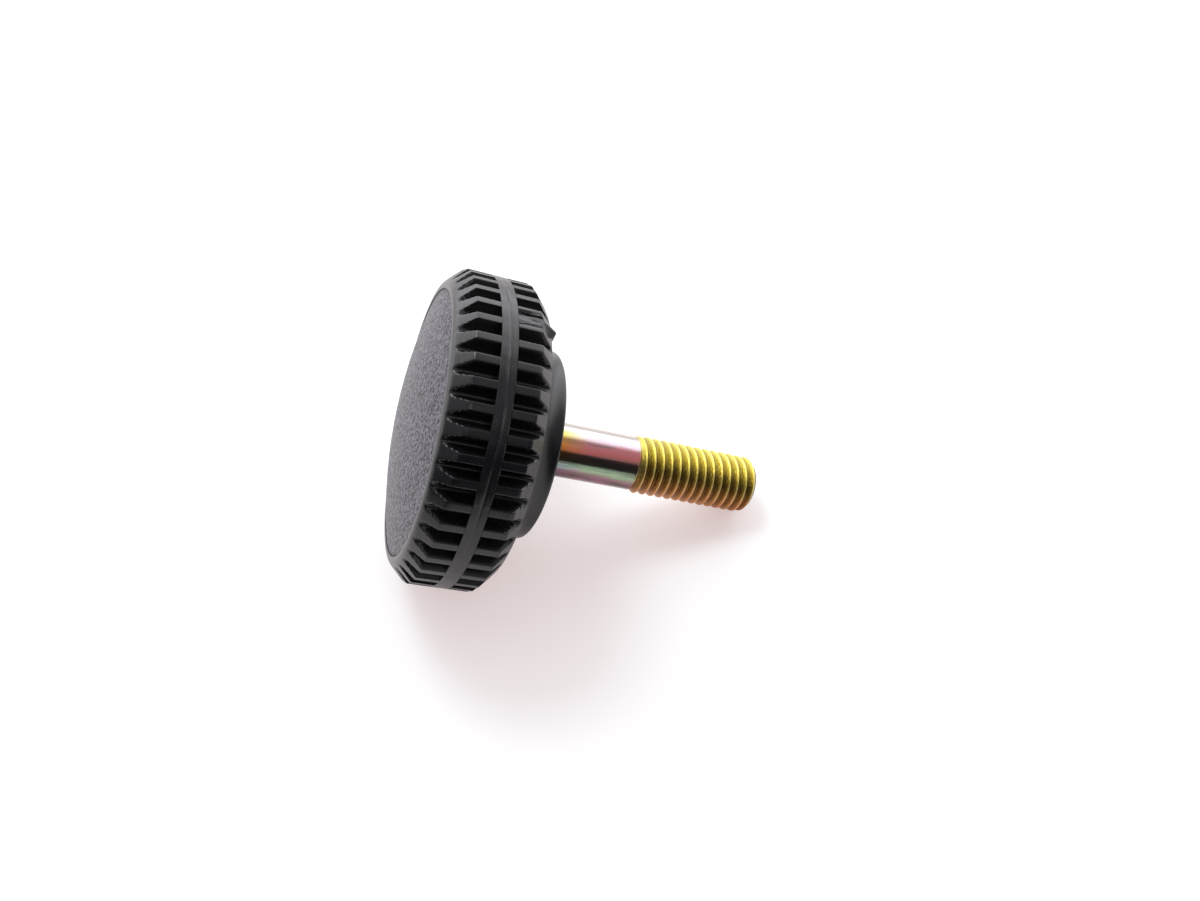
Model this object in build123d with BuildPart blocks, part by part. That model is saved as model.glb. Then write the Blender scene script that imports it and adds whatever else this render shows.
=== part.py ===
from build123d import *
import os
from math import acos, asin, atan, atan2, cos, hypot, pi, sin

# A thumb screw: a moulded plastic knob with a grooved rim, moulded round the hexagon
# head of a plated M8 screw. It lies on the rim of the knob and the tip of the screw.
# Stations along the screw are measured from the parting plane of the knob, positive
# towards the tip. Every size is in millimetres.

# knob rim
knob_radius = 20.0
grip_half_length = 3.85
band_width = 1.96
front_rim_radius = 18.33
front_rim_station = -5.6
back_rim_radius = 18.05
back_rim_station = 5.63

# crowned face, sunk a little below the plain rim round it
face_radius = 17.0
face_edge_station = -6.04
face_sink = 0.12
face_crown = 2.2

# collar behind the knob
collar_root_radius = 13.4
collar_end_radius = 12.35
collar_end_station = 9.6
collar_edge_round = 0.35

# grooves round the rim, one row each side of the band
groove_count = 44
groove_width = 1.88
groove_depth = 1.75
groove_root_radius = 0.45
filled_groove = 21

# the fins between the grooves have flat outer faces, this far inside the rim's circle
fin_face_sink = 0.015

# moulding gate left in the filled groove of the back row
gate_nub_height = 0.55
gate_nub_width = 1.3
gate_nub_length = 1.7

# screw
thread_diameter = 7.8
shank_diameter = 7.2
end_chamfer = 0.75
thread_start_station = 23.3
tip_station = 41.0
head_across_flats = 13.0
head_thickness = 5.3
head_seat_station = 1.0

# a groove is a V with a rounded root
mouth = groove_width / 2
root_centre = knob_radius - groove_depth + groove_root_radius
reach = knob_radius - root_centre
flank = acos(groove_root_radius / hypot(mouth, reach)) - atan2(reach, mouth)
flank_slope = sin(flank) / cos(flank)

# the screw lies with a groove straddling its lowest line, on the corners of two fins;
# this is how far those corners stand from the axis, measured square to the ground
fin_turn = pi / groove_count
fin_face_radius = knob_radius - fin_face_sink
mouth_line = mouth - knob_radius * flank_slope
contact_radius = (fin_face_radius - mouth_line * sin(fin_turn)) / (
    cos(fin_turn) + flank_slope * sin(fin_turn)
)

# the slope at which the fins and the end of the thread both touch the ground
tilt = atan((contact_radius - thread_diameter / 2) / (tip_station - end_chamfer - grip_half_length))
axis_height = contact_radius * cos(tilt) + grip_half_length * sin(tilt)

# the parting plane stands off the origin so that the whole screw is centred over it
tip_reach = tip_station * cos(tilt) + (thread_diameter / 2 - end_chamfer) * sin(tilt)
face_reach = front_rim_radius * sin(tilt) - front_rim_station * cos(tilt)
axis_offset = (face_reach - tip_reach) / 2

along_screw = Vector(cos(tilt), 0, -sin(tilt))
towards_ground = Vector(-sin(tilt), 0, -cos(tilt))
parting_centre = Vector(axis_offset, 0, axis_height)

# cross_plane looks along the screw, with X towards the ground;
# side_plane holds the screw's axis as its X and points its Y away from the ground
cross_plane = Plane(origin=parting_centre, x_dir=towards_ground, z_dir=along_screw)
side_plane = Plane(origin=parting_centre, x_dir=along_screw, z_dir=(0, -1, 0))
screw_axis = Axis(parting_centre, along_screw)


# the groove's section, closed just outside the rim
overcut = 0.4
outside = knob_radius + overcut
outside_half = mouth + overcut * flank_slope
touch_x = root_centre - groove_root_radius * sin(flank)
touch_y = groove_root_radius * cos(flank)

with BuildSketch(Plane.XY) as groove:
    with BuildLine():
        Line((touch_x, -touch_y), (outside, -outside_half))
        Line((outside, -outside_half), (outside, outside_half))
        Line((outside, outside_half), (touch_x, touch_y))
        ThreePointArc(
            (touch_x, touch_y),
            (root_centre - groove_root_radius, 0),
            (touch_x, -touch_y),
        )
    make_face()


# ---- screw: hexagon head, plain shank and thread as a cylinder over its crests

thread_radius = thread_diameter / 2
shank_radius = shank_diameter / 2

with BuildPart() as screw:
    with BuildSketch(side_plane):
        with BuildLine():
            Polyline(
                (head_seat_station - head_thickness / 2, 0),
                (tip_station, 0),
                (tip_station, thread_radius - end_chamfer),
                (tip_station - end_chamfer, thread_radius),
                (thread_start_station, thread_radius),
                (thread_start_station, shank_radius),
                (head_seat_station - head_thickness / 2, shank_radius),
                close=True,
            )
        make_face()
    revolve(axis=screw_axis)
    with BuildSketch(cross_plane.offset(head_seat_station - head_thickness)):
        RegularPolygon(radius=head_across_flats / 2, side_count=6, major_radius=False)
    extrude(amount=head_thickness)
screw.part.label = "screw"

# ---- knob: one turned outline, grooves cut along the rim from both ends

groove_length = knob_radius
band_edge = band_width / 2
kink = (-grip_half_length, knob_radius)
front_rim = (front_rim_station, front_rim_radius)
rim_slope = Vector(front_rim[0] - kink[0], front_rim[1] - kink[1])
round_start = (collar_end_station - collar_edge_round, collar_end_radius)
round_end = (collar_end_station, collar_end_radius - collar_edge_round)
collar_slope = Vector(round_start[0] - back_rim_station, round_start[1] - collar_root_radius)

with BuildPart() as knob:
    with BuildSketch(side_plane):
        with BuildLine():
            crown_edge = (face_edge_station + face_sink, face_radius)
            crown_top = (crown_edge[0] - face_crown, 0)
            crown_radius = (face_radius**2 + face_crown**2) / (2 * face_crown)
            half_turn = asin(face_radius / crown_radius) / 2
            crown_middle = (
                crown_top[0] + crown_radius * (1 - cos(half_turn)),
                crown_radius * sin(half_turn),
            )
            ThreePointArc(crown_top, crown_middle, crown_edge)
            Line(crown_edge, (face_edge_station, face_radius))
            TangentArc(front_rim, (face_edge_station, face_radius), tangent=rim_slope)
            Line(front_rim, kink)
            Line(kink, (grip_half_length, knob_radius))
            Line((grip_half_length, knob_radius), (back_rim_station, back_rim_radius))
            Line((back_rim_station, back_rim_radius), (back_rim_station, collar_root_radius))
            Line((back_rim_station, collar_root_radius), round_start)
            TangentArc(round_start, round_end, tangent=collar_slope)
            Line(round_end, (collar_end_station, 0))
            Line((collar_end_station, 0), crown_top)
        make_face()
    revolve(axis=screw_axis)
    with BuildSketch(cross_plane.offset(crown_top[0] - knob_radius)):
        RegularPolygon(radius=fin_face_radius, side_count=groove_count, major_radius=False)
    extrude(amount=3 * knob_radius, mode=Mode.INTERSECT)
    with BuildSketch(cross_plane.offset(-band_edge)):
        with PolarLocations(0, groove_count):
            add(groove.sketch)
    extrude(amount=-groove_length, mode=Mode.SUBTRACT)
    first_open = (filled_groove + 1) * 360 / groove_count
    open_range = 360 - 2 * 360 / groove_count
    with BuildSketch(cross_plane.offset(band_edge)):
        with PolarLocations(0, groove_count - 1, first_open, open_range, endpoint=True):
            add(groove.sketch)
    extrude(amount=groove_length, mode=Mode.SUBTRACT)
    # the torn gate stands a little proud at the back of the filled groove
    gate_angle = filled_groove * 360 / groove_count
    with BuildSketch(cross_plane.offset(grip_half_length)):
        with PolarLocations(knob_radius - gate_nub_length / 2, 1, gate_angle):
            Rectangle(gate_nub_length, gate_nub_width)
    extrude(amount=back_rim_station + gate_nub_height - grip_half_length, taper=8)
    add(screw.part, mode=Mode.SUBTRACT)
knob.part.label = "knob"

os.makedirs("parts", exist_ok=True)
export_step(screw.part, "parts/screw.step")
export_step(knob.part, "parts/knob.step")

for piece in (screw.part, knob.part):
    box = piece.bounding_box()
    print(piece.label, "solids", len(piece.solids()), "volume", round(piece.volume, 1), box)
print("lies at", round(tilt * 180 / pi, 2), "degrees")
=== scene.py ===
import math
import bpy
import numpy as np
from mathutils import Matrix, Vector


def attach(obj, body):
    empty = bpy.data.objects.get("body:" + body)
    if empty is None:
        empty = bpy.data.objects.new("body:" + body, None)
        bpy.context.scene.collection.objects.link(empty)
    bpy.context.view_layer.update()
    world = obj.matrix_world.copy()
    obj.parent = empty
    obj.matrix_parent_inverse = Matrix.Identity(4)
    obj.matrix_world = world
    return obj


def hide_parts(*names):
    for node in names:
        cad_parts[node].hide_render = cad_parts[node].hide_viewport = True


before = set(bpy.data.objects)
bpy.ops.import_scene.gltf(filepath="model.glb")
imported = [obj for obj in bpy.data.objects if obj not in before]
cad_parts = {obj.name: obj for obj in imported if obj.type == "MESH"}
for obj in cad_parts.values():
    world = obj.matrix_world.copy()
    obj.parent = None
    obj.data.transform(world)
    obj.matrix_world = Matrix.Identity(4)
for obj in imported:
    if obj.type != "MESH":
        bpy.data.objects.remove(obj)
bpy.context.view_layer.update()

mm = 0.001

# stations run along the screw from the knob's parting plane, positive towards the tip
knobShape = {
    "radius": 20.0,
    "finFace": 19.985,
    "gripHalf": 3.85,
    "bandHalf": 0.98,
    "frontRim": (-5.6, 18.33),
    "backRim": (5.63, 18.05),
    "faceEdge": (-6.04, 17.0),
    "faceSink": 0.12,
    "faceCrown": 2.2,
    "collarEnd": (9.6, 12.35),
    "collarRound": 0.35,
    "collarFlare": 1.75,
    "collarSweep": 2.2,
    "grooves": 44,
    "grooveWidth": 1.88,
    "grooveDepth": 1.75,
    "rootRadius": 0.45,
    "filledGroove": 21,
    "edgeSoftness": 0.1,
    "nubProud": 0.42,
    "nubPlace": -0.35,
    "nubWidth": 0.5,
    "nubSwell": 0.5,
    "fillSink": 0.12,
    "fillRoughness": 0.05,
    "splitDepth": 0.55,
    "splitPlace": -0.8,
    "splitWidth": 0.14,
    "boreGap": 0.02,
    "sharpAngle": 32,
}

screwShape = {
    "crestRadius": 3.9,
    "shankRadius": 3.6,
    "rootRadius": 3.17,
    "pitch": 1.25,
    "threadStart": 23.3,
    "tip": 41.0,
    "endChamfer": 0.75,
    "firstCrest": 24.13,
    "crestTurn": 143.27,
    "headAcross": 13.0,
    "headFrom": -4.3,
    "headTo": 1.0,
    "flankAngle": 60,
    "crestFlat": 1 / 14,
    "crestSoftness": 0.06,
    "valleySoftness": 0.12,
    "runIn": 0.9,
    "runInPower": 0.7,
    "threadStep": 0.048,
    "columns": 120,
    "sharpAngle": 40,
}

# how the screw lies: the knob's rim and the thread's end both touch the ground
halfMouth = math.asin(knobShape["grooveWidth"] / 2 / knobShape["radius"])
rootCentre = knobShape["radius"] - knobShape["grooveDepth"] + knobShape["rootRadius"]
mouthReach = knobShape["radius"] - rootCentre
flank = (math.acos(knobShape["rootRadius"] / math.hypot(knobShape["grooveWidth"] / 2, mouthReach))
         - math.atan2(mouthReach, knobShape["grooveWidth"] / 2))
finTurn = math.pi / knobShape["grooves"]
mouthLine = knobShape["grooveWidth"] / 2 - knobShape["radius"] * math.tan(flank)
contactRadius = ((knobShape["finFace"] - mouthLine * math.sin(finTurn))
                 / (math.cos(finTurn) + math.tan(flank) * math.sin(finTurn)))
chamferStation = screwShape["tip"] - screwShape["endChamfer"]
tilt = math.atan((contactRadius - screwShape["crestRadius"]) / (chamferStation - knobShape["gripHalf"]))
axisHeight = contactRadius * math.cos(tilt) + knobShape["gripHalf"] * math.sin(tilt)
tipReach = (screwShape["tip"] * math.cos(tilt)
            + (screwShape["crestRadius"] - screwShape["endChamfer"]) * math.sin(tilt))
faceReach = knobShape["frontRim"][1] * math.sin(tilt) - knobShape["frontRim"][0] * math.cos(tilt)
axisOffset = (faceReach - tipReach) / 2

alongScrew = np.array([math.cos(tilt), 0.0, -math.sin(tilt)])
towardsGround = np.array([-math.sin(tilt), 0.0, -math.cos(tilt)])
sideways = np.array([0.0, 1.0, 0.0])
partingCentre = np.array([axisOffset, 0.0, axisHeight])


def placed(station, radius, turn):
    # a point at this station, radius and turn; turn 0 faces the ground
    across = np.cos(turn)[..., None] * towardsGround + np.sin(turn)[..., None] * sideways
    return (partingCentre + station[..., None] * alongScrew + radius[..., None] * across) * mm


def closedShell(name, station, radius, turn, firstPole, lastPole, sharpAngle):
    # a grid of rings, joined round the seam, with a fan of triangles to a pole at each end
    rows, columns = station.shape
    ringPoints = placed(station, radius, turn).reshape(-1, 3)
    poles = placed(np.array([firstPole, lastPole]), np.zeros(2), np.zeros(2))
    points = np.vstack([ringPoints, poles])
    here = np.arange(columns)
    after = np.roll(here, -1)
    low = (np.arange(rows - 1) * columns)[:, None]
    quads = np.stack([low + here, low + after, low + columns + after, low + columns + here], axis=-1)
    quads = quads.reshape(-1, 4)
    firstFan = np.stack([np.full(columns, rows * columns), after, here], axis=-1)
    top = (rows - 1) * columns
    lastFan = np.stack([np.full(columns, rows * columns + 1), top + here, top + after], axis=-1)
    # the volume under the faces is negative where they point inwards
    a, b, c, d = (points[quads[:, i]] for i in range(4))
    volume = np.einsum("ij,ij->i", a, np.cross(b, c)).sum() + np.einsum("ij,ij->i", a, np.cross(c, d)).sum()
    if volume < 0:
        quads = quads[:, ::-1]
        firstFan = firstFan[:, ::-1]
        lastFan = lastFan[:, ::-1]
    mesh = bpy.data.meshes.new(name)
    faces = quads.tolist() + firstFan.tolist() + lastFan.tolist()
    mesh.from_pydata(points.tolist(), [], faces)
    mesh.polygons.foreach_set("use_smooth", np.ones(len(mesh.polygons), dtype=bool))
    mesh.set_sharp_from_angle(angle=math.radians(sharpAngle))
    mesh.update()
    piece = bpy.data.objects.new(name, mesh)
    bpy.context.scene.collection.objects.link(piece)
    return piece


def softMin(a, b, softness):
    # half of the sum less the root of the squared difference plus the squared softness:
    # the lower of the two, with the edge between them rounded
    return 0.5 * (a + b - np.sqrt((a - b) ** 2 + softness ** 2))


def lineRows(start, end, count, skipFirst=True):
    # points at even shares of the straight line from start to end
    share = np.linspace(0, 1, count)[int(skipFirst):]
    return [(start[0] + (end[0] - start[0]) * s, start[1] + (end[1] - start[1]) * s) for s in share]


def arcRows(start, end, startSlope, count):
    # an arc that leaves the start along startSlope and ends at the end
    chord = np.array(end) - np.array(start)
    slope = np.array(startSlope) / np.linalg.norm(startSlope)
    normal = np.array([-slope[1], slope[0]])
    arcRadius = chord.dot(chord) / (2 * chord.dot(normal))
    centre = np.array(start) + arcRadius * normal
    sweep = 2 * math.atan2(chord.dot(normal), chord.dot(slope))
    out = []
    for s in np.linspace(0, 1, count)[1:]:
        turnBy = sweep * s
        spoke = np.array(start) - centre
        out.append((centre[0] + spoke[0] * math.cos(turnBy) - spoke[1] * math.sin(turnBy),
                    centre[1] + spoke[0] * math.sin(turnBy) + spoke[1] * math.cos(turnBy)))
    return out


def grooveRadius(offset):
    # radius of the groove's wall at an angle from its middle: a straight flank, then a round root
    k = knobShape
    touch = math.atan2(k["rootRadius"] * math.cos(flank), rootCentre - k["rootRadius"] * math.sin(flank))
    offset = np.abs(offset)
    below = np.minimum(np.sin(offset) - np.cos(offset) * math.tan(flank), -0.02)
    wall = mouthLine / below
    inside = np.maximum(k["rootRadius"] ** 2 - (rootCentre * np.sin(offset)) ** 2, 0)
    root = rootCentre * np.cos(offset) - np.sqrt(inside)
    return np.where(offset < touch, root, wall)


def hexRadius(turn, across):
    # a hexagon's radius: half its width across flats over the cosine of the angle from the nearest flat
    return across / 2 / np.cos(np.mod(turn, math.pi / 3) - math.pi / 6)


def knobRows():
    # the outline from the middle of the face round to the bore: (station, radius, kind)
    k = knobShape
    edge = (k["faceEdge"][0] + k["faceSink"], k["faceEdge"][1])
    crownRadius = (edge[1] ** 2 + k["faceCrown"] ** 2) / (2 * k["faceCrown"])
    top = edge[0] - k["faceCrown"]
    rows = []
    for r in np.array([0.06, 0.15, 0.25, 0.35, 0.45, 0.55, 0.65, 0.75, 0.84, 0.92, 0.97, 0.994]) * edge[1]:
        rows.append((top + crownRadius - math.sqrt(crownRadius ** 2 - r ** 2), r, 0))
    rows += [(edge[0] + 0.03, edge[1] - 0.04, 0), (edge[0] + 0.03, edge[1] - 0.005, 0)]
    rows += [(k["faceEdge"][0] + 0.04, edge[1] + 0.005, 0), (k["faceEdge"][0], edge[1] + 0.05, 0)]
    kink = (-k["gripHalf"], k["radius"])
    rim = k["frontRim"]
    arc = arcRows(rim, k["faceEdge"], (rim[0] - kink[0], rim[1] - kink[1]), 7)[:-1]
    rows += [(u, r, 1) for u, r in arc[::-1]]
    rows += [(u, r, 1) for u, r in lineRows(rim, kink, 13, False)]
    rows[-1] = (kink[0] - 0.03, kink[1] - 0.04, 1)
    rows.append((kink[0] + 0.06, kink[1], 1))
    wall = k["bandHalf"]
    rows += [(u, r, 1) for u, r in lineRows(kink, (-wall - 0.02, k["radius"]), 6)]
    rows += [(-wall, k["radius"] - 0.05, 0), (-wall + 0.05, k["radius"], 0)]
    # the mould's parting line is a shallow dip round the band
    partingDips = [(-0.4, 0), (-0.02, 0), (0.05, 0.035), (0.12, 0.005), (0.5, 0.005)]
    rows += [(u, k["radius"] - dip, 0) for u, dip in partingDips]
    rows += [(wall - 0.05, k["radius"] - 0.005, 0), (wall, k["radius"] - 0.05, 0)]
    kinkBack = (k["gripHalf"], k["radius"])
    rows += [(u, r, 2) for u, r in lineRows((wall + 0.02, k["radius"]), kinkBack, 6, False)]
    rows[-1] = (kinkBack[0] - 0.06, k["radius"], 2)
    rows.append((kinkBack[0] + 0.03, kinkBack[1] - 0.04, 2))
    rows += [(u, r, 2) for u, r in lineRows(kinkBack, k["backRim"], 11)]
    rows += [(k["backRim"][0], r, 0) for r in (17.6, 15.5)]
    start = (k["collarEnd"][0] - k["collarRound"], k["collarEnd"][1])
    # the collar sweeps in from the back face along a falling power curve
    wallLength = start[0] - k["backRim"][0]
    for share in np.linspace(0, 1, 13):
        sweep = k["collarFlare"] * (1 - share) ** k["collarSweep"]
        rows.append((k["backRim"][0] + share * wallLength, start[1] - 0.1 * (share - 1) + sweep, 0))
    root = rows[-2][:2]
    slope = (start[0] - root[0], start[1] - root[1])
    end = (k["collarEnd"][0], k["collarEnd"][1] - k["collarRound"])
    rows += [(u, r, 0) for u, r in arcRows(start, end, slope, 6)]
    rows += [(k["collarEnd"][0], r, 0) for r in (9.0, 5.5, 3.8)]
    shank = screwShape["shankRadius"] + k["boreGap"]
    rows += [(k["collarEnd"][0] - 0.08, shank + k["boreGap"], 0), (8.5, shank, 0)]
    rows.append((screwShape["headTo"], shank, 0))
    rows += [(screwShape["headTo"], 0.0, 3), (screwShape["headFrom"], 0.0, 3)]
    return rows, top


def makeKnob():
    # every ring takes the lower of the outline, the fins' flat faces and the groove's wall
    k = knobShape
    pitch = 2 * math.pi / k["grooves"]
    # columns crowd where a fin's side meets its outer face
    half = np.array([0, 0.17, 0.34, 0.52, 0.72, 0.88, 0.955, 1.0, 1.045, 1.11, 1.25]) * halfMouth
    offsets = np.concatenate([-half[:0:-1], half, [pitch / 2]])
    grooveIndex = np.repeat(np.arange(k["grooves"]), len(offsets))
    offset = np.tile(offsets, k["grooves"])
    turn = grooveIndex * pitch + offset
    rows, top = knobRows()
    station = np.array([row[0] for row in rows])[:, None] * np.ones(len(turn))
    outline = np.array([row[1] for row in rows])[:, None] * np.ones(len(turn))
    kind = np.array([row[2] for row in rows])[:, None]
    # the fins' outer faces are flat
    flat = k["finFace"] / np.cos(np.abs(offset) - finTurn)
    outline = np.minimum(outline, flat[None, :])
    cut = grooveRadius(offset)[None, :] * np.ones(station.shape)
    filled = (grooveIndex == k["filledGroove"]) & (np.abs(offset) < pitch * 0.49)
    rng = np.random.default_rng(5)
    torn = rng.normal(0, k["fillRoughness"], station.shape)
    # the filled groove is flush, rough, and has a thin split along one side
    split = np.exp(-((offset / halfMouth - k["splitPlace"]) / k["splitWidth"]) ** 2)
    fill = k["radius"] - k["fillSink"] - k["splitDepth"] * split[None, :] + torn
    cut = np.where((kind == 2) & filled[None, :], fill, cut)
    grooved = softMin(outline, cut, k["edgeSoftness"]) + k["edgeSoftness"] * 0.02
    radius = np.where((kind == 1) | (kind == 2), np.minimum(grooved, outline), outline)
    # the torn gate stands proud at the back end of the filled groove
    nub = filled[None, :] * np.exp(-((offset[None, :] / halfMouth - k["nubPlace"]) / k["nubWidth"]) ** 4)
    nearBack = np.clip((station - k["gripHalf"]) / (k["backRim"][0] - k["gripHalf"]), 0, 1)
    onNub = nub * nearBack * ((kind == 2) | ((outline > 17) & (station > 5)))
    radius = np.where(kind == 2, np.minimum(radius + onNub * k["nubSwell"], k["radius"]), radius)
    station = station + onNub * k["nubProud"]
    pocket = hexRadius(turn, screwShape["headAcross"])[None, :] + k["boreGap"]
    radius = np.where(kind == 3, pocket, radius)
    turns = turn[None, :] * np.ones(station.shape)
    return closedShell("knobShell", station, radius, turns, top, screwShape["headFrom"], k["sharpAngle"])


def threadRadius(station, turn):
    # a rolled thread: flat crests, 60 degree flanks and round roots, wound right-handed
    s = screwShape
    phase = (station - s["firstCrest"]) / s["pitch"] - (np.degrees(turn) + s["crestTurn"]) / 360
    away = np.abs(phase - np.round(phase)) * s["pitch"]
    side = s["crestRadius"] - (away - s["pitch"] * s["crestFlat"]) * math.tan(math.radians(s["flankAngle"]))
    ridge = softMin(np.full_like(side, s["crestRadius"]), side, s["crestSoftness"])
    return -softMin(-ridge, np.full_like(ridge, -s["rootRadius"]), s["valleySoftness"])


def makeScrew():
    # the head's hexagon, the plain shank, then the thread's surface under a cone at the tip
    s = screwShape
    columns = s["columns"]
    turn = np.arange(columns) * 2 * math.pi / columns
    head = [s["headFrom"], s["headTo"]]
    plain = [s["headTo"] + 0.001, 5.0, 9.3, 9.8, 12, 14.5, 17, 19.5, 22, s["threadStart"] - 0.12]
    fine = np.arange(s["threadStart"], s["tip"] - 0.01, s["threadStep"])
    rowStation = np.concatenate([head, plain, fine, [s["tip"], s["tip"]]])
    station = rowStation[:, None] * np.ones(columns)
    turns = turn[None, :] * np.ones(station.shape)
    radius = np.full(station.shape, s["shankRadius"])
    radius[:2] = hexRadius(turn, s["headAcross"])
    # the thread grows out of the shank over its first part of a turn, and its end is chamfered
    growth = np.clip((station - s["threadStart"]) / s["runIn"], 0, 1)
    full = threadRadius(station, turns)
    runIn = s["shankRadius"] + (full - s["shankRadius"]) * growth ** s["runInPower"]
    chamfer = s["crestRadius"] - s["endChamfer"] + (s["tip"] - station) + 0.02
    threaded = softMin(runIn, chamfer, 0.05)
    radius = np.where(station >= s["threadStart"], threaded, radius)
    radius[-1] = s["crestRadius"] - s["endChamfer"] - 0.35
    endRadius = s["crestRadius"] - s["endChamfer"]
    radius = np.where(station > s["tip"] - 0.001, np.minimum(radius, endRadius), radius)
    return closedShell("platedScrew", station, radius, turns, s["headFrom"], s["tip"], s["sharpAngle"])


def newMaterial(name):
    material = bpy.data.materials.new(name)
    material.use_nodes = True
    tree = material.node_tree
    return material, tree, tree.nodes["Principled BSDF"]


def maths(tree, operation, first, second=None, clamp=False):
    node = tree.nodes.new("ShaderNodeMath")
    node.operation = operation
    node.use_clamp = clamp
    for socket, value in zip(node.inputs, (first, second)):
        if value is None:
            continue
        if isinstance(value, (int, float)):
            socket.default_value = value
        else:
            tree.links.new(value, socket)
    return node.outputs[0]


def screwSpace(tree):
    # millimetres in the screw's own axes: X along it, Z up across it
    coords = tree.nodes.new("ShaderNodeTexCoord")
    mapping = tree.nodes.new("ShaderNodeMapping")
    mapping.vector_type = "TEXTURE"
    mapping.inputs["Location"].default_value = [v * mm for v in partingCentre]
    mapping.inputs["Rotation"].default_value = (0, tilt, 0)
    mapping.inputs["Scale"].default_value = (mm, mm, mm)
    tree.links.new(coords.outputs["Object"], mapping.inputs["Vector"])
    parts = tree.nodes.new("ShaderNodeSeparateXYZ")
    tree.links.new(mapping.outputs[0], parts.inputs[0])
    along = parts.outputs["X"]
    squares = maths(tree, "ADD", maths(tree, "MULTIPLY", parts.outputs["Y"], parts.outputs["Y"]),
                    maths(tree, "MULTIPLY", parts.outputs["Z"], parts.outputs["Z"]))
    radius = maths(tree, "SQRT", squares)
    return mapping.outputs[0], along, radius, parts


def noise(tree, vector, scale, detail=2.0, roughness=0.5):
    node = tree.nodes.new("ShaderNodeTexNoise")
    node.inputs["Scale"].default_value = scale
    node.inputs["Detail"].default_value = detail
    node.inputs["Roughness"].default_value = roughness
    tree.links.new(vector, node.inputs["Vector"])
    return node


def ramp(tree, value, stops):
    node = tree.nodes.new("ShaderNodeValToRGB")
    tree.links.new(value, node.inputs[0])
    elements = node.color_ramp.elements
    while len(elements) < len(stops):
        elements.new(0.5)
    for element, (place, colour) in zip(elements, stops):
        element.position = place
        element.color = colour if len(colour) == 4 else (*colour, 1)
    return node.outputs[0]


def stretched(tree, vector, scale):
    node = tree.nodes.new("ShaderNodeMapping")
    node.inputs["Scale"].default_value = scale
    tree.links.new(vector, node.inputs["Vector"])
    return node.outputs[0]


def mixed(tree, share, first, second, kind="MIX"):
    node = tree.nodes.new("ShaderNodeMix")
    node.data_type = "RGBA"
    node.blend_type = kind
    for socket, value in zip((node.inputs[0], node.inputs[6], node.inputs[7]), (share, first, second)):
        if isinstance(value, (int, float)):
            socket.default_value = value
        elif isinstance(value, tuple):
            socket.default_value = (*value, 1)
        else:
            tree.links.new(value, socket)
    return node.outputs[2]


def bump(tree, height, distance, strength=1.0, normal=None):
    node = tree.nodes.new("ShaderNodeBump")
    node.inputs["Strength"].default_value = strength
    node.inputs["Distance"].default_value = distance
    tree.links.new(height, node.inputs["Height"])
    if normal is not None:
        tree.links.new(normal, node.inputs["Normal"])
    return node.outputs[0]


plasticLook = {
    "colour": (0.003, 0.0028, 0.0036),
    "dusty": (0.007, 0.0065, 0.008),
    "faceRoughness": 0.25,
    "rimRoughness": 0.20,
    "grainScale": 2.5,
    "grainHeight": 0.4,
    "grainEdge": 16.93,
    # the face's grain colours: dark pits and light specks, the specks being painted sparkle
    "grainSparkleStops": [(0.40, (0.008, 0.008, 0.010)), (0.58, (0.34, 0.32, 0.36))],
    "cloudScale": 0.25,
    "roughnessSpread": 0.12,
    "fineHeight": 0.03,
    "fineStrength": 0.4,
}


def plasticMaterial():
    # satin black plastic; only the crowned face has the coarse grain of the mould, and the grain's light
    # specks are painted sparkle
    look = plasticLook
    material, tree, shader = newMaterial("grainedBlackPlastic")
    vector, along, radius, parts = screwSpace(tree)
    within = maths(tree, "MULTIPLY", maths(tree, "SUBTRACT", look["grainEdge"], radius), 12.0, True)
    ahead = maths(tree, "SUBTRACT", knobShape["frontRim"][0], along)
    onFace = maths(tree, "MULTIPLY", within, maths(tree, "MULTIPLY", ahead, 8.0, True), True)
    grain = noise(tree, vector, look["grainScale"], 3.0, 0.6)
    fine = noise(tree, vector, look["grainScale"] * 4, 2.0, 0.6)
    cloud = noise(tree, vector, look["cloudScale"], 2.0)
    # the grain's pattern is the mould's own; its light specks are painted sparkle on the black plastic
    grainSparkle = ramp(tree, grain.outputs["Fac"], look["grainSparkleStops"])
    hue = noise(tree, vector, look["grainScale"] * 0.8, 2.0)
    grainSparkleTint = mixed(tree, hue.outputs["Fac"], (1.15, 0.85, 1.25), (0.85, 1.12, 0.95))
    grainSparkleTint = mixed(tree, 1.0, grainSparkle, grainSparkleTint, "MULTIPLY")
    plain = mixed(tree, cloud.outputs["Fac"], look["colour"], look["dusty"])
    colour = mixed(tree, onFace, plain, grainSparkleTint)
    tree.links.new(colour, shader.inputs["Base Color"])
    faceExtra = maths(tree, "MULTIPLY", onFace, look["faceRoughness"] - look["rimRoughness"])
    rough = maths(tree, "ADD", look["rimRoughness"], faceExtra)
    rough = maths(tree, "ADD", rough, maths(tree, "MULTIPLY", fine.outputs["Fac"], look["roughnessSpread"]))
    tree.links.new(rough, shader.inputs["Roughness"])
    coarse = bump(tree, maths(tree, "MULTIPLY", grain.outputs["Fac"], onFace), look["grainHeight"] * mm * 5)
    normal = bump(tree, fine.outputs["Fac"], look["fineHeight"] * mm, look["fineStrength"], coarse)
    tree.links.new(normal, shader.inputs["Normal"])
    shader.inputs["IOR"].default_value = 1.5
    return material


platingLook = {
    "roughness": 0.09,
    # painted highlight on the thread's crests and painted shade in its roots
    "crestHighlight": (1.25, 1.25, 1.6),
    "root": (0.34, 0.30, 0.28),
    "threadRoughness": 0.11,
    "wander": 0.07,
    "streaking": 0.10,
    "patching": 0.55,
    "patchColour": (0.50, 0.22, 0.05),
    "pinkShare": 0.75,
    "pinkColour": (0.52, 0.24, 0.34),
    "goldUntil": 16.0,
    "goldFade": 0.22,
    "streakHeight": 0.01,
    "pitHeight": 0.14,
}


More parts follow.
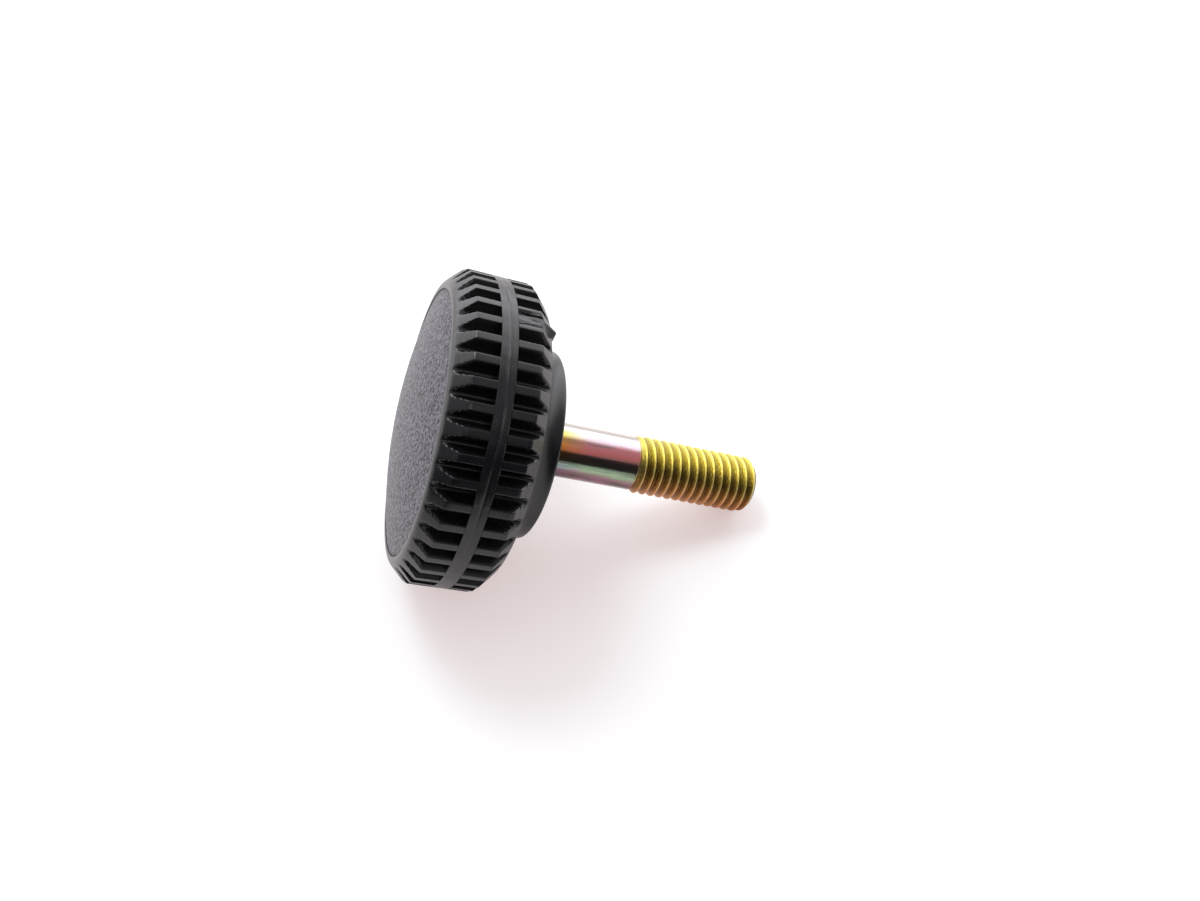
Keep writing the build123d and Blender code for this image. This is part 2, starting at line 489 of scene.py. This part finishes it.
def platingMaterial():
    # yellow zinc plating: its film runs through gold, copper, green and violet round the shank; the
    # brightness round the shank is partly painted reflection and shade, pale on top with dark bands at set
    # angles
    look = platingLook
    material, tree, shader = newMaterial("yellowZincPlating")
    vector, along, radius, parts = screwSpace(tree)
    # share of a turn round the screw, from the sideways face over the top
    flipped = maths(tree, "MULTIPLY", parts.outputs["Y"], -1.0)
    turned = maths(tree, "DIVIDE", maths(tree, "ARCTAN2", parts.outputs["Z"], flipped), 2 * math.pi)
    wander = noise(tree, stretched(tree, vector, (0.12, 0.5, 0.5)), 1.0, 2.0)
    drift = maths(tree, "MULTIPLY", maths(tree, "SUBTRACT", wander.outputs["Fac"], 0.5), look["wander"])
    spot = maths(tree, "ADD", maths(tree, "ADD", turned, drift), 0.5, True)
    streak = noise(tree, stretched(tree, vector, (0.18, 5.0, 5.0)), 1.0, 4.0, 0.7)
    jitter = maths(tree, "MULTIPLY", maths(tree, "SUBTRACT", streak.outputs["Fac"], 0.5), look["streaking"])
    spot = maths(tree, "ADD", spot, jitter)
    # colour by angle round the shank: the plating's hues, with painted reflection and shade in the pale top
    # and the dark bands
    filmAndReflections = ramp(tree, spot, [
        (0.02, (0.66, 0.52, 0.26)),
        (0.12, (0.50, 0.60, 0.38)),
        (0.22, (0.66, 0.44, 0.46)),
        (0.34, (0.60, 0.56, 0.36)),
        (0.43, (0.50, 0.47, 0.45)),
        (0.467, (0.18, 0.13, 0.13)),
        (0.495, (0.24, 0.18, 0.15)),
        (0.523, (0.38, 0.31, 0.28)),
        (0.551, (0.34, 0.47, 0.30)),
        (0.585, (0.13, 0.18, 0.13)),
        (0.634, (0.45, 0.30, 0.26)),
        (0.665, (0.95, 0.26, 0.24)),
        (0.705, (0.80, 0.30, 0.32)),
        (0.722, (0.38, 0.24, 0.25)),
        (0.745, (0.50, 0.41, 0.47)),
        (0.80, (0.52, 0.49, 0.50)),
        (0.88, (0.62, 0.52, 0.40)),
        (0.96, (0.66, 0.52, 0.26)),
    ])
    beforeGold = maths(tree, "SUBTRACT", look["goldUntil"], along)
    nearCollar = maths(tree, "MULTIPLY", beforeGold, look["goldFade"], True)
    # near the collar: copper and orange bands beside near-black ones, partly the plating's colour and
    # partly painted reflection and shade
    goldenFilmAndReflections = ramp(tree, spot, [
        (0.45, (0.10, 0.06, 0.07)),
        (0.495, (0.24, 0.13, 0.17)),
        (0.523, (0.32, 0.21, 0.30)),
        (0.551, (0.27, 0.34, 0.38)),
        (0.582, (0.07, 0.10, 0.09)),
        (0.634, (0.50, 0.28, 0.06)),
        (0.662, (1.00, 0.30, 0.02)),
        (0.69, (1.00, 0.46, 0.06)),
        (0.717, (0.44, 0.30, 0.03)),
        (0.745, (0.52, 0.48, 0.03)),
        (0.773, (0.50, 0.50, 0.16)),
        (0.80, (0.50, 0.50, 0.44)),
    ])
    # pink and violet clouds drift over the shank's underside
    cloud = noise(tree, stretched(tree, vector, (0.3, 1.0, 1.0)), 1.0, 3.0)
    under = maths(tree, "MULTIPLY", maths(tree, "SUBTRACT", 0.565, spot), 40.0, True)
    pinkCloud = maths(tree, "MULTIPLY", maths(tree, "SUBTRACT", cloud.outputs["Fac"], 0.45), 5.0, True)
    pink = maths(tree, "MULTIPLY", maths(tree, "MULTIPLY", pinkCloud, under), look["pinkShare"])
    filmAndReflections = mixed(tree, pink, filmAndReflections, look["pinkColour"])
    shank = mixed(tree, nearCollar, filmAndReflections, goldenFilmAndReflections)
    depth = maths(tree, "MULTIPLY", maths(tree, "SUBTRACT", radius, screwShape["rootRadius"]), 1.4, True)
    # the thread's colour round the screw, painted lighter and yellower on top as painted light
    threadHueTopLit = ramp(tree, spot, [
        (0.46, (0.78, 0.36, 0.12)),
        (0.54, (0.72, 0.44, 0.15)),
        (0.62, (0.52, 0.46, 0.12)),
        (0.70, (0.86, 0.76, 0.12)),
        (0.78, (0.80, 0.74, 0.14)),
    ])
    patches = noise(tree, vector, 1.6, 3.0, 0.6)
    patched = maths(tree, "MULTIPLY", patches.outputs["Fac"], look["patching"])
    threadHueTopLit = mixed(tree, patched, threadHueTopLit, look["patchColour"])
    # painted light by depth: painted shade towards the thread's roots, a painted highlight brighter than
    # white at its crests
    shade = ramp(tree, depth, [
        (0.0, look["root"]),
        (0.6, (0.7, 0.7, 0.7)),
        (0.85, (0.95, 0.95, 0.95)),
        (1.0, look["crestHighlight"]),
    ])
    thread = mixed(tree, 1.0, threadHueTopLit, shade, "MULTIPLY")
    pastShank = maths(tree, "SUBTRACT", along, screwShape["threadStart"] - 0.3)
    inThread = maths(tree, "MULTIPLY", pastShank, 1.5, True)
    colour = mixed(tree, inThread, shank, thread)
    tree.links.new(colour, shader.inputs["Base Color"])
    shader.inputs["Metallic"].default_value = 1.0
    streaks = noise(tree, stretched(tree, vector, (0.5, 5.0, 5.0)), 1.0, 3.0)
    rough = maths(tree, "ADD", look["roughness"], maths(tree, "MULTIPLY", streaks.outputs["Fac"], 0.10))
    rough = maths(tree, "ADD", rough, maths(tree, "MULTIPLY", inThread, look["threadRoughness"]))
    tree.links.new(rough, shader.inputs["Roughness"])
    pitted = noise(tree, vector, 6.0, 3.0, 0.6)
    normal = bump(tree, streaks.outputs["Fac"], look["streakHeight"] * mm, 0.5)
    pits = maths(tree, "MULTIPLY", pitted.outputs["Fac"], inThread)
    normal = bump(tree, pits, look["pitHeight"] * mm, 0.7, normal)
    tree.links.new(normal, shader.inputs["Normal"])
    return material


print("making the knob")
knob = makeKnob()
knob.data.materials.append(plasticMaterial())
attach(knob, "root")
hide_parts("knob")

print("making the screw")
screw = makeScrew()
screw.data.materials.append(platingMaterial())
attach(screw, "root")
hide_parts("screw")

print("lighting")
studio = {
    "groundSize": 3.0,
    "groundColour": (0.85, 0.84, 0.84),
    "groundSeen": (0.56, 0.70, 0.71),
    "groundFarShade": (0.48, 0.56, 0.57),
    "groundGlow": 0.52,
    "mirroredGlow": 0.3,
    "glowColour": (1.0, 0.74, 0.72),
    "keyPower": 0.8,
    "keySize": 0.17,
    "keyFrom": (-0.12, 0.21, 0.46),
    "glintPower": 0.014,
    "glintSize": 0.015,
    "glintFrom": (0.06, -0.10, 0.22),
}


def makeGround():
    half = studio["groundSize"] / 2
    corners = [(-half, -half, 0), (half, -half, 0), (half, half, 0), (-half, half, 0)]
    mesh = bpy.data.meshes.new("ground")
    mesh.from_pydata(corners, [], [(0, 1, 2, 3)])
    ground = bpy.data.objects.new("ground", mesh)
    bpy.context.scene.collection.objects.link(ground)
    material, tree, shader = newMaterial("paleTable")
    paths = tree.nodes.new("ShaderNodeLightPath")
    coords = tree.nodes.new("ShaderNodeTexCoord")
    parts = tree.nodes.new("ShaderNodeSeparateXYZ")
    tree.links.new(coords.outputs["Object"], parts.inputs[0])
    # painted shade: the table is painted dimmer and pinkish towards its near right corner, where less light
    # falls
    across = maths(tree, "SUBTRACT", parts.outputs["X"], parts.outputs["Y"])
    slant = maths(tree, "MULTIPLY", across, 5.0, True)
    tone = mixed(tree, slant, studio["groundSeen"], studio["groundFarShade"])
    seen = mixed(tree, paths.outputs["Is Camera Ray"], studio["groundColour"], tone)
    tree.links.new(seen, shader.inputs["Base Color"])
    shader.inputs["Emission Color"].default_value = (*studio["glowColour"], 1)
    # the metal and the plastic mirror part of the table's paleness too
    mirrored = maths(tree, "MULTIPLY", paths.outputs["Is Glossy Ray"], studio["mirroredGlow"])
    shown = maths(tree, "ADD", paths.outputs["Is Camera Ray"], mirrored, True)
    glow = maths(tree, "MULTIPLY", shown, studio["groundGlow"])
    tree.links.new(glow, shader.inputs["Emission Strength"])
    shader.inputs["Roughness"].default_value = 0.9
    shader.inputs["Specular IOR Level"].default_value = 0.1
    mesh.materials.append(material)


def makeSky():
    # a pale room, brightest behind the screw and dark on the viewer's side
    world = bpy.data.worlds.new("room")
    bpy.context.scene.world = world
    world.use_nodes = True
    tree = world.node_tree
    background = tree.nodes["Background"]
    coords = tree.nodes.new("ShaderNodeTexCoord")
    parts = tree.nodes.new("ShaderNodeSeparateXYZ")
    tree.links.new(coords.outputs["Generated"], parts.inputs[0])
    # 0 level with the viewer's side, a quarter overhead, half at the far side
    lift = maths(tree, "ARCTAN2", parts.outputs["Z"], maths(tree, "MULTIPLY", parts.outputs["Y"], -1.0))
    share = maths(tree, "DIVIDE", lift, math.pi, True)
    level = ramp(tree, share, [
        (0.0, (0.04, 0.04, 0.045)),
        (0.22, (0.04, 0.04, 0.045)),
        (0.26, (0.34, 0.34, 0.36)),
        (0.60, (0.50, 0.50, 0.52)),
        (0.68, (1.9, 1.9, 1.94)),
        (1.0, (3.2, 3.2, 3.3)),
    ])
    paths = tree.nodes.new("ShaderNodeLightPath")
    shown = mixed(tree, paths.outputs["Is Camera Ray"], level, (1.0, 1.0, 1.0))
    tree.links.new(shown, background.inputs["Color"])
    background.inputs["Strength"].default_value = 1.0


def addLamp(name, place, size, power):
    lamp = bpy.data.lights.new(name, "AREA")
    lamp.shape = "DISK"
    lamp.size = size
    lamp.energy = power
    holder = bpy.data.objects.new(name, lamp)
    bpy.context.scene.collection.objects.link(holder)
    holder.location = place
    aim = Vector((0, 0, 0.01)) - Vector(place)
    holder.rotation_euler = aim.to_track_quat("-Z", "Y").to_euler()


def addCamera():
    eye = Vector((17.279, -73.181, 99.631)) + Vector(partingCentre)
    forward = Vector((0.0004, 0.5694, -0.8221)).normalized()
    right = Vector((0.9986, -0.0436, -0.0297))
    right = (right - right.dot(forward) * forward).normalized()
    up = right.cross(forward)
    turned = Matrix((right, up, -forward)).transposed()
    camera = bpy.data.cameras.new("camera")
    camera.lens = 29.1
    camera.sensor_width = 36
    camera.clip_start = 0.005
    holder = bpy.data.objects.new("camera", camera)
    bpy.context.scene.collection.objects.link(holder)
    holder.matrix_world = Matrix.Translation(eye * mm) @ turned.to_4x4()
    bpy.context.scene.camera = holder


makeGround()
makeSky()
addLamp("keyLamp", studio["keyFrom"], studio["keySize"], studio["keyPower"])
addLamp("glintLamp", studio["glintFrom"], studio["glintSize"], studio["glintPower"])
addCamera()
bpy.context.scene.view_settings.view_transform = "Standard"
